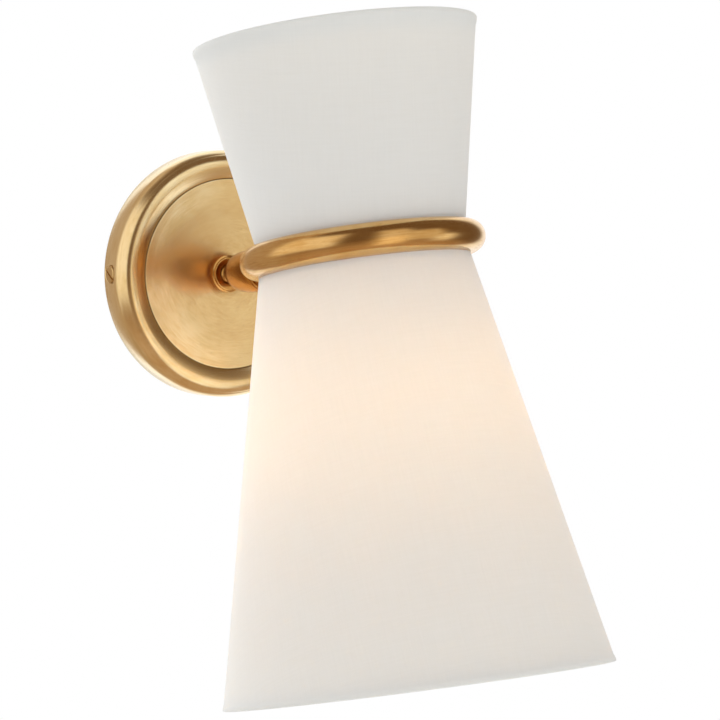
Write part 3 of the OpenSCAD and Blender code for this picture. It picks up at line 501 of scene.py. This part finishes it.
# Bell: a turned brass cup with a closed round back that hides the spindle's shoulder. Its mouth has a
# thin rolled rim over a darker recess.
deep_brass = rubbed_brass("deep rubbed brass", "#b97f3c", "#cf9a58", 0.22, 0.7, along_arm)
bell = [(3.05, 11.9)] + polar(5.4, 14.5, 2.6, -90, -18, 8)
bell += [(8.5, 15.6), (9.1, 16.9), (9.6, 18.6), (10.0, 21.2), (10.3, 25.0), (10.4, 29.0), (10.4, 40.6)]
bell += [(10.15, 41.2), (9.8, 41.5), (8.6, 41.5), (8.4, 41.2), (8.4, 38.5), (3.65, 38.5), (3.65, 13.3)]
bell += [(3.05, 13.3)]
fit(turned("bell_turned", bell, along_arm, 128, 0.12), deep_brass, "stud", "bell_cup")
dress("spindle_nut", zinc)
dress("swivel_washer", nylon)

# Arm: a collar turns on the spindle, and a plain brass tube runs from it to the boss at the back of
# the ring. Tube and boss are brazed and rubbed like the ring.
collar = [(3.65, 42.0), (8.3, 42.0), (8.8, 42.5), (8.8, 46.6), (8.3, 47.1), (5.3, 47.1), (5.3, 50.1)]
collar += [(3.65, 50.1)]
collar_piece = turned("collar_turned", collar, along_arm, 96, 0.12)
fit(collar_piece, bright_brass, "head", "arm_collar")
tube = [(5.35, 47.1), (6.35, 47.1), (6.35, 72.6), (5.35, 72.6)]
fit(turned("arm_tube_drawn", tube, along_arm, 96, 0.08), bright_brass, "head", "arm_tube")
to_ring = up_shade @ spin(math.radians(-90), 4, "X")
boss = [(0, 55.2), (8.55, 55.2), (8.2, 61), (8.05, 65.3), (7.6, 65.8), (0, 65.8)]
boss_piece = turned("ring_boss", boss, to_ring, 96, 0.15, False)
bore_axis = up_shade @ shift((0, ring_radius, 0)) @ spin(math.radians(head_tip - 90), 4, "X")
boss_bore = [(0, 9.5), (6.4, 9.5), (6.4, 24), (0, 24)]
cut(boss_piece, turned("boss bore", boss_bore, bore_axis, 96, 0, False))
fit(boss_piece, bright_brass, "head", "ring_saddle")
dress("cross_pipe", zinc)

# Waist ring: brass tube bent to a closed ring, brazed at the boss, darkened and rubbed almost to a
# polish, so it mirrors the room in soft brown and gold bands.
ring_brass = rubbed_brass("polished rubbed brass", "#dcae6a", "#e8c286", 0.21, 0.9, up_shade, 0.5)
tube_radius = 7.4
ring = turned("waist_ring_bent", polar(ring_radius, 0, tube_radius, 0, 360, 56)[:-1], up_shade, 256, 0)
fit(ring, ring_brass, "head", "waist_ring")

# Inner frame: a hollow brass body on the ring's axis, held by two rods, with threaded tubes above and
# below it. White wire spiders on the tubes carry the shades, and nuts hold them.
for name in ("centre_body", "stay_rods"):
    dress(name, turned_brass)
for name in ("upper_nipple", "lower_nipple", "socket_nut"):
    dress(name, zinc)
white_coat = plain_plastic("white powder coat", "#e2e1dc", "#edece8", 0.5, 1.0)
wire_radius, bar_thick, bar_start = 1.25, 1.5, 11
washer_in, washer_out = 4.85, 13


def spider(name, height, reach, cad):
    """A wire ring, three flat bars and a washer."""
    whole = bmesh.new()
    low, high = height - bar_thick / 2, height + bar_thick / 2
    washer = [(washer_in, low), (washer_out, low), (washer_out, high), (washer_in, high)]
    loops = [turned("wire", polar(reach, height, wire_radius, 0, 360, 20)[:-1], Matrix.Identity(4), 160, 0),
             turned("washer", washer, Matrix.Identity(4), 64, 0.2)]
    for degrees in (90, 210, 330):
        bar = bmesh.new()
        bmesh.ops.create_cube(bar, size=1)
        bmesh.ops.scale(bar, vec=(reach - bar_start, 5, bar_thick), verts=bar.verts)
        bmesh.ops.bevel(bar, geom=list(bar.edges), offset=0.25, offset_type="OFFSET", segments=2, profile=0.5,
                        affect="EDGES", clamp_overlap=True, material=-1)
        middle = shift(((reach + bar_start) / 2, 0, height))
        loops.append(finish("bar", bar, spin(math.radians(degrees), 4, "Z") @ middle))
    for one in loops:
        whole.from_mesh(one.data)
        bpy.data.objects.remove(one)
    bmesh.ops.scale(whole, vec=(1 / MM,) * 3, verts=whole.verts)
    fit(finish(name, whole, up_shade), white_coat, "head", cad)


spider("upper_spider", 9.75, 46.49, "upper_fitter")
spider("lower_spider", -9.75, 46.78, "lower_fitter")

# Divider and cap nut: a round white plate closes the waist, which keeps the lamp's light out of the
# upper shade. A domed brass nut holds it down.
divider = [(4.85, 10.5), (44.64, 10.5), (44.64, 11.3), (4.85, 11.3)]
fit(turned("divider_plate", divider, up_shade, 128, 0.15), white_coat, "head", "divider")
dome = [(0, 11.3), (8, 11.3), (8, 13.3), (7, 14.3), (7, 19.3)] + polar(0, 19.3, 7, 12, 90, 10)
fit(turned("cap_nut_turned", dome, up_shade, 64, 0.2, False), turned_brass, "head", "cap_nut")

# Linen: off-white, plain-woven linen glued to a stiff white backing. Threads lie 0.5 mm apart, drawn at
# 0.65 mm so that they show, with faint slubs both ways. It is cut flat, so the weave is unrolled. Light
# that passes through the two layers comes out warmer.
linen, tree = material("plain woven linen")
flat_cut = node(tree, "UVMap", uv_map="cut")
thread = 0.65 * MM
counted = node(tree, "Mapping", {"Vector": flat_cut, "Scale": (math.pi / thread,) * 3})
threads = node(tree, "SeparateXYZ", {0: counted})
warp = node(tree, "Math", {0: threads.outputs["X"]}, operation="SINE")
weft = node(tree, "Math", {0: threads.outputs["Y"]}, operation="SINE")
plain_weave = node(tree, "Math", {0: warp, 1: weft}, operation="MULTIPLY")
slubs = []
for across, along in ((0.9, 22), (22, 0.9)):
    run = node(tree, "Mapping", {"Vector": flat_cut, "Scale": (1 / (across * MM), 1 / (along * MM), 1)})
    slubs.append(node(tree, "TexNoise", {"Vector": run, "Scale": 1.0, "Detail": 2.0}))
slub = node(tree, "Math", {0: slubs[0], 1: slubs[1]}, operation="ADD")
weave = node(tree, "Math", {0: plain_weave, 1: 0.1, 2: slub}, operation="MULTIPLY_ADD")
weave = node(tree, "MapRange", {"Value": weave, "From Min": 0.0, "From Max": 2.0})
skin = node(tree, "ValToRGB", {"Fac": weave}, [(0.0, "#e6eaec"), (1.0, "#f0f4f7")])
bump = node(tree, "Bump", {"Height": weave, "Distance": 0.08 * MM, "Strength": 0.4})
cloth = node(tree, "BsdfPrincipled", {
    "Base Color": skin, "Roughness": 0.88, "Sheen Weight": 0.08, "Normal": bump})
passed = node(tree, "BsdfTranslucent", {"Color": colour("#ffedcb")})
both = node(tree, "MixShader", {0: 0.22, 1: cloth, 2: passed})
node(tree, "OutputMaterial", {"Surface": both})

backing, tree = material("white backing sheet")
cloud = node(tree, "TexNoise", {"Vector": node(tree, "TexCoord").outputs["Object"], "Scale": 1 / (5 * MM)})
skin = node(tree, "ValToRGB", {"Fac": cloud}, [(0.3, "#f1f0ec"), (0.7, "#f6f5f1")])
sheet = node(tree, "BsdfPrincipled", {"Base Color": skin, "Roughness": 0.6})
passed = node(tree, "BsdfTranslucent", {"Color": colour("#ffedcb")})
both = node(tree, "MixShader", {0: 0.4, 1: sheet, 2: passed})
node(tree, "OutputMaterial", {"Surface": both})

# Shades: two open cones of that linen, glued along a seam at the back. Their free rims are turned in
# over a wire, which leaves a soft edge, and their feet sit on the spiders inside the ring.
shade_wall, turned_in = 1, 5


def cone(name, foot, rim, way, cad):
    """A cone wall from foot to rim, both (radius, height), with a soft hem at its rim."""
    slope = (rim[0] - foot[0]) / (rim[1] - foot[1])
    lean = math.atan(abs(slope))

    def unroll(bm):
        flat = bm.loops.layers.uv.new("cut")
        for face in bm.faces:
            middle = face.calc_center_median()
            ahead = math.atan2(middle.x, -middle.y)
            for loop in face.loops:
                x, y, z = loop.vert.co
                angle = math.atan2(x, -y)
                angle += math.tau * round((ahead - angle) / math.tau)
                reach = (foot[0] + slope * (z - foot[1])) / math.sin(lean) * MM
                rolled = angle * math.sin(lean)
                loop[flat].uv = (reach * math.sin(rolled), reach * math.cos(rolled))
            outwards = middle.copy()
            outwards.z = 0
            backed = face.normal.dot(outwards) < 0 and abs(middle.z) < abs(rim[1]) - turned_in
            face.material_index = 1 if backed else 0

    levels = 10
    outer = [(foot[0] + (rim[0] - foot[0]) * i / levels, foot[1] + (rim[1] - foot[1]) * i / levels)
             for i in range(levels)]
    hem = [(rim[0] - slope * way * 3 + 0.1, rim[1] - 3 * way),
           (rim[0] - slope * way * 2.6 + 0.33, rim[1] - 2.6 * way),
           (rim[0] + 0.35, rim[1] - 0.6 * way), (rim[0] + 0.1, rim[1] - 0.1 * way), (rim[0] - 0.5, rim[1]),
           (rim[0] - 0.95, rim[1] - 0.15 * way), (rim[0] - 1.1, rim[1] - 0.6 * way)]
    inner = [(r - shade_wall, z) for r, z in reversed(outer)]
    wall = turned(name, outer + hem + inner, up_shade, 192, 0, True, 60, unroll)
    fit(wall, [linen, backing], "head", cad)


cone("upper_shade_linen", (48.575, 7.5), (65.5, 99.8), 1, "upper_shade")
cone("lower_shade_linen", (48.796, -7.5), (89.9, -200.7), -1, "lower_shade")
hem_wires = (("upper_hem_wire", 62.55, 97.35, "upper_rim_wire"),
             ("lower_hem_wire", 86.88, -198.25, "lower_rim_wire"))
for name, reach, height, cad in hem_wires:
    hem_wire = turned(name, polar(reach, height, wire_radius, 0, 360, 20)[:-1], up_shade, 192, 0)
    fit(hem_wire, white_coat, "head", cad)

# Lamp holder: a black moulded body in a turned brass cap that threads on the lower tube, with a thin
# screw shell inside and a spring contact in its floor.
cap = [(4.85, -13.5), (12.2, -13.5), (13.0, -14.3), (13.0, -22.5), (11.8, -22.5), (11.8, -14.7)]
cap += [(4.85, -14.7)]
fit(turned("holder_cap_turned", cap, up_shade, 96, 0.2), turned_brass, "head", "socket_cap")
phenolic = plain_plastic("black phenolic", "#171513", "#221f1c", 0.35, 1.5)
body = [(1.9, -14.7), (11.5, -14.7), (11.5, -47.9), (10.7, -48.7), (6.55, -48.7), (6.55, -22.7), (1.9, -22.7)]
fit(turned("holder_body_moulded", body, up_shade, 96, 0.2), phenolic, "head", "socket_body")
dress("socket_shell", turned_brass)
dress("socket_contact", turned_brass)

# Lamp: a frosted torpedo glass cemented in a nickel-plated screw base with a solder tip. It is lit, so
# the glass glows warm; the stem and the filament stand inside it.
nickel = plain_metal("nickel plate", "#b9b4ab", "#d2cec6", 0.25, 4.0)
thread_mid, thread_high, thread_pitch = 5.55, 0.35, 2.6
thread_turns = [(thread_mid + thread_high * math.cos(k * math.pi / 3), -48.3 + (k / 6) * thread_pitch)
                for k in range(0, 48)]
base = [(0, -50.7), (7.1, -50.7), (7.1, -49.3), (6.3, -48.7)] + thread_turns
base += [(5.5, -26.1), (3, -24.9), (0, -24.9)]
fit(turned("lamp_base_rolled", base, up_shade, 64, 0, False, 50), nickel, "head", "lamp_base")
dress("lamp_tip", zinc)
frosted, tree = material("frosted lamp glass")
height = node(tree, "SeparateXYZ", {0: node(tree, "TexCoord").outputs["Object"]}).outputs["Z"]
warmth = node(tree, "MapRange", {"Value": height, "From Min": -0.125, "From Max": -0.045})
lit = node(tree, "ValToRGB", {"Fac": warmth}, [(0.2, "#fff6ec"), (1.0, "#fff2e4")])
glass = node(tree, "BsdfPrincipled", {
    "Base Color": colour("#fff3df"), "Roughness": 0.45, "Transmission Weight": 0.25, "Emission Color": lit,
    "Emission Strength": 6.2})
node(tree, "OutputMaterial", {"Surface": glass})


def torpedo(neck, swell, length, levels=24):
    """A lamp's outline down from its neck, in mm, widest above its middle."""
    points = []
    for i in range(levels + 1):
        t = i / levels
        bulge = swell * max(math.sin(math.pi * t ** 0.62), 0) ** 0.8 if 0 < t < 1 else 0
        points.append((neck * (1 - t) ** 2 + bulge if t < 1 else 0, -50.7 - length * t))
    return points


glass_wall = torpedo(6.8, 15.5, 72) + list(reversed(torpedo(6.0, 14.7, 71.2)))
fit(turned("lamp_glass_blown", glass_wall, up_shade, 96, 0), frosted, "head", "lamp_glass")
clear, tree = material("clear glass stem")
cloud = node(tree, "TexNoise", {"Vector": node(tree, "TexCoord").outputs["Object"], "Scale": 1 / (3 * MM)})
gloss = node(tree, "MapRange", {"Value": cloud, "To Min": 0.03, "To Max": 0.08})
glass = node(tree, "BsdfPrincipled", {
    "Base Color": colour("#f2f5f5"), "Roughness": gloss, "Transmission Weight": 0.9})
node(tree, "OutputMaterial", {"Surface": glass})
dress("lamp_stem", clear)
lit_wire, tree = material("lit tungsten wire")
cloud = node(tree, "TexNoise", {"Vector": node(tree, "TexCoord").outputs["Object"], "Scale": 1 / (1 * MM)})
skin = node(tree, "ValToRGB", {"Fac": cloud}, [(0.3, "#d9a066"), (0.7, "#f2c48a")])
wire = node(tree, "BsdfPrincipled", {
    "Base Color": skin, "Roughness": 0.5, "Emission Color": colour("#ffcf8a"), "Emission Strength": 12.0})
node(tree, "OutputMaterial", {"Surface": wire})
dress("lamp_filament", lit_wire)
